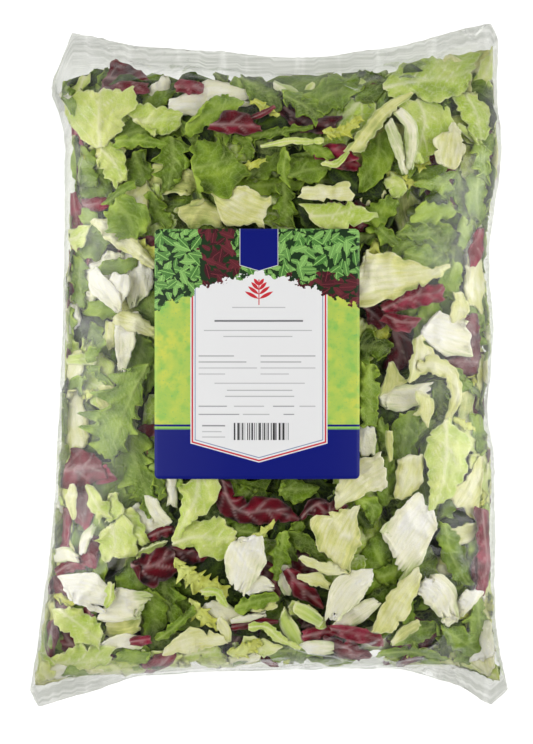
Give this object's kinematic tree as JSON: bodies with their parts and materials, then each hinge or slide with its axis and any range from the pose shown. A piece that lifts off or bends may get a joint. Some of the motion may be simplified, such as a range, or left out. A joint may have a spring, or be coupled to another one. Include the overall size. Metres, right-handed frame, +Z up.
{
  "type": "bag of salad leaves",
  "caption": "Clear sealed pillow bag of mixed cut salad leaves, lying on its back with a plain printed label on its upper face.",
  "frame": {"origin": "under the middle of the bag, on the surface it lies on", "axes": "+X across the bag, +Y from the bottom seal to the top seal, +Z up, out of the labelled face"},
  "size_m": [0.2756, 0.3955, 0.0834],
  "materials": {
    "film": "clear glossy film over salad leaves",
    "label_print": "printed label, satin",
    "green_leaf": "fresh green salad leaf",
    "pale_leaf": "pale inner leaf and rib",
    "red_leaf": "dark red radicchio leaf"
  },
  "bodies": {
    "root": {"salad_bag": "film", "label": "label_print"}
  },
  "joints": []
}
